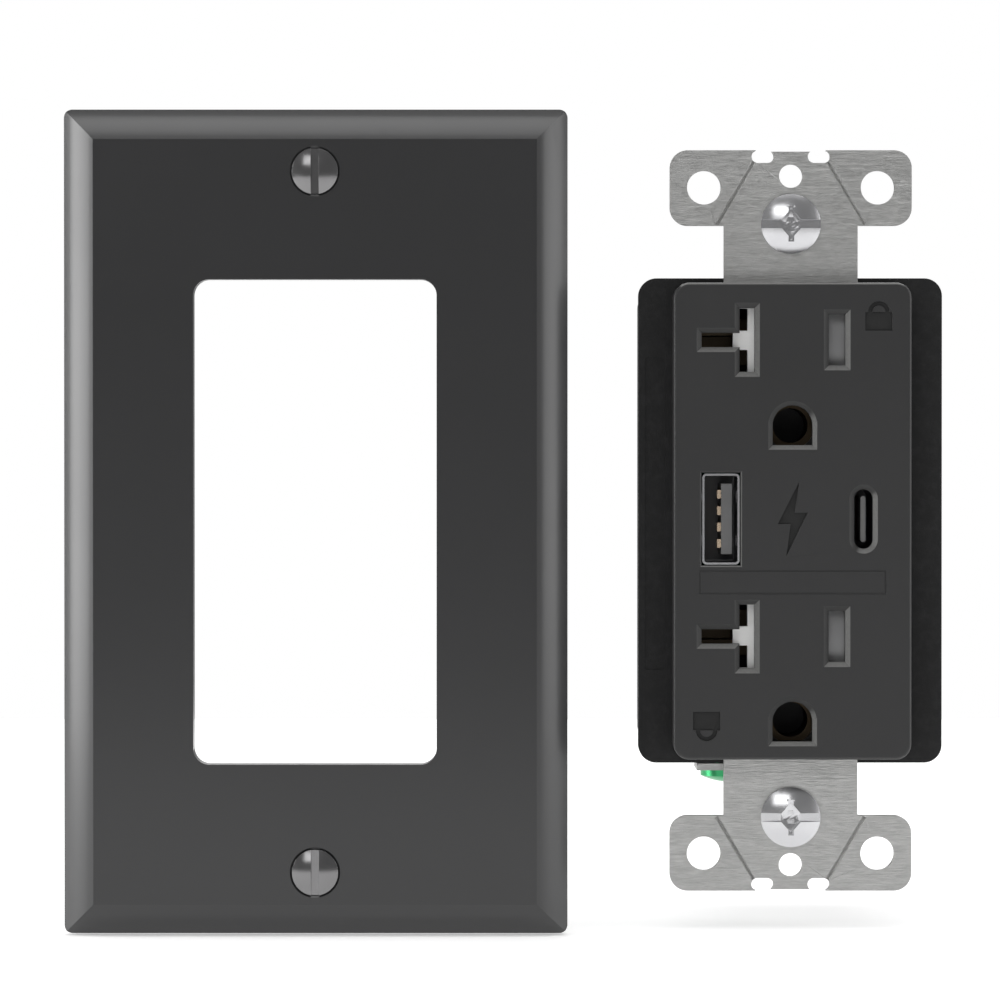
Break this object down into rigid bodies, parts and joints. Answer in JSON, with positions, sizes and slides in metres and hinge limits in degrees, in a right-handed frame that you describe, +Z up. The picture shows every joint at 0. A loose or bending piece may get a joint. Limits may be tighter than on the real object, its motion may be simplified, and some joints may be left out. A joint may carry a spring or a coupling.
{
  "type": "duplex wall outlet",
  "caption": "Duplex wall outlet with safety shutters and charging ports on a steel mounting strap, with its decorator wall plate taken off beside it.",
  "frame": {"origin": "midway between the two box screws, on the wall plane, which is the back of the strap", "axes": "+X to the right, +Y into the wall, +Z up; the face looks towards -Y"},
  "size_m": [0.1227, 0.0515, 0.1142],
  "materials": {
    "plate_finish": "smooth dark grey with a soft gloss",
    "plate_screw_metal": "polished black nickel",
    "face_plastic": "fine satin moulding",
    "housing_plastic": "black, slightly mottled moulding",
    "strap_steel": "galvanised sheet, brushed across",
    "box_screw_zinc": "bright zinc",
    "washer_fibre": "pressed fibre",
    "shutter_white": "natural white moulding",
    "ramp_grey": "grey moulding",
    "guide_black": "black moulding",
    "spring_steel": "drawn wire",
    "contact_brass": "stamped brass",
    "rivet_brass": "headed brass",
    "carrier_nylon": "natural nylon",
    "port_shell_nickel": "nickel-plated sheet",
    "port_c_shell_dark": "dark nickel",
    "tongue_grey": "grey insulator",
    "contact_gold": "gold flash on copper",
    "board_green": "solder mask",
    "header_black": "moulded header",
    "ferrite": "pressed ferrite",
    "winding_tape": "yellow polyester tape",
    "capacitor_sleeve": "shrunk sleeve",
    "choke_wire": "enamelled copper wire",
    "fuse_body": "moulded body",
    "chip_black": "moulded package",
    "terminal_brass": "brass plated screw",
    "terminal_nickel": "nickel plated screw",
    "clamp_zinc": "zinc plated plate",
    "ground_green": "green dyed zinc",
    "assembly_zinc": "zinc plated screw"
  },
  "bodies": {
    "root": {"front_cover": "face_plastic", "back_body": "housing_plastic", "strap": "strap_steel", "retaining_washers": "washer_fibre", "upper_shutter_spring": "spring_steel", "lower_shutter_spring": "spring_steel", "shutter_guides": "guide_black", "neutral_bus": "contact_brass", "hot_bus": "contact_brass", "ground_strip": "contact_brass", "ground_rivets": "rivet_brass", "contact_carrier": "carrier_nylon", "port_a_shell": "port_shell_nickel", "port_a_tongue": "tongue_grey", "port_a_contacts": "contact_gold", "port_c_shell": "port_c_shell_dark", "port_c_tongue": "tongue_grey", "port_board": "board_green", "board_header": "header_black", "power_board": "board_green", "mains_leads": "contact_brass", "transformer_core": "ferrite", "transformer_winding": "winding_tape", "mains_capacitor": "capacitor_sleeve", "output_capacitors": "capacitor_sleeve", "choke": "choke_wire", "fuse": "fuse_body", "rectifier": "chip_black", "control_chips": "chip_black", "assembly_screws": "assembly_zinc"},
    "plate_screws": {"plate_screws": "plate_screw_metal"},
    "wall_plate": {"wall_plate": "plate_finish"},
    "upper_shutter": {"upper_shutter": "shutter_white", "upper_ramp": "ramp_grey"},
    "lower_shutter": {"lower_shutter": "shutter_white", "lower_ramp": "ramp_grey"},
    "upper_box_screw": {"upper_box_screw": "box_screw_zinc"},
    "lower_box_screw": {"lower_box_screw": "box_screw_zinc"},
    "ground_screw": {"ground_screw": "ground_green"},
    "upper_hot_terminal": {"upper_hot_screw": "terminal_brass", "upper_hot_clamp": "clamp_zinc"},
    "lower_hot_terminal": {"lower_hot_screw": "terminal_brass", "lower_hot_clamp": "clamp_zinc"},
    "upper_neutral_terminal": {"upper_neutral_screw": "terminal_nickel", "upper_neutral_clamp": "clamp_zinc"},
    "lower_neutral_terminal": {"lower_neutral_screw": "terminal_nickel", "lower_neutral_clamp": "clamp_zinc"}
  },
  "joints": [
    {"name": "plate_across", "type": "slide", "parent": "root", "child": "plate_screws", "axis": [1, 0, 0], "range_m": [0, 0.0664]},
    {"name": "plate_on", "type": "slide", "parent": "plate_screws", "child": "wall_plate", "axis": [0, 1, 0], "range_m": [0, 0.0087]},
    {"name": "upper_shutter_slide", "type": "slide", "parent": "root", "child": "upper_shutter", "axis": [1, 0, 0], "range_m": [0, 0.0031], "stiffness_N_per_m": 80, "springref_m": -0.003, "deforming": ["upper_shutter_spring"]},
    {"name": "lower_shutter_slide", "type": "slide", "parent": "root", "child": "lower_shutter", "axis": [1, 0, 0], "range_m": [0, 0.0031], "stiffness_N_per_m": 80, "springref_m": -0.003, "deforming": ["lower_shutter_spring"]},
    {"name": "upper_box_screw_turn", "type": "hinge", "parent": "root", "child": "upper_box_screw", "pos_m": [0, 0, 0.04167], "axis": [0, 1, 0], "continuous": true},
    {"name": "lower_box_screw_turn", "type": "hinge", "parent": "root", "child": "lower_box_screw", "pos_m": [0, 0, -0.04167], "axis": [0, 1, 0], "continuous": true},
    {"name": "upper_hot_terminal_travel", "type": "slide", "parent": "root", "child": "upper_hot_terminal", "axis": [1, 0, 0], "range_m": [0, 0.0016]},
    {"name": "lower_hot_terminal_travel", "type": "slide", "parent": "root", "child": "lower_hot_terminal", "axis": [1, 0, 0], "range_m": [0, 0.0016]},
    {"name": "upper_neutral_terminal_travel", "type": "slide", "parent": "root", "child": "upper_neutral_terminal", "axis": [-1, 0, 0], "range_m": [0, 0.0016]},
    {"name": "lower_neutral_terminal_travel", "type": "slide", "parent": "root", "child": "lower_neutral_terminal", "axis": [-1, 0, 0], "range_m": [0, 0.0016]},
    {"name": "ground_screw_travel", "type": "slide", "parent": "root", "child": "ground_screw", "axis": [0, 0, -1], "range_m": [0, 0.0019]}
  ]
}
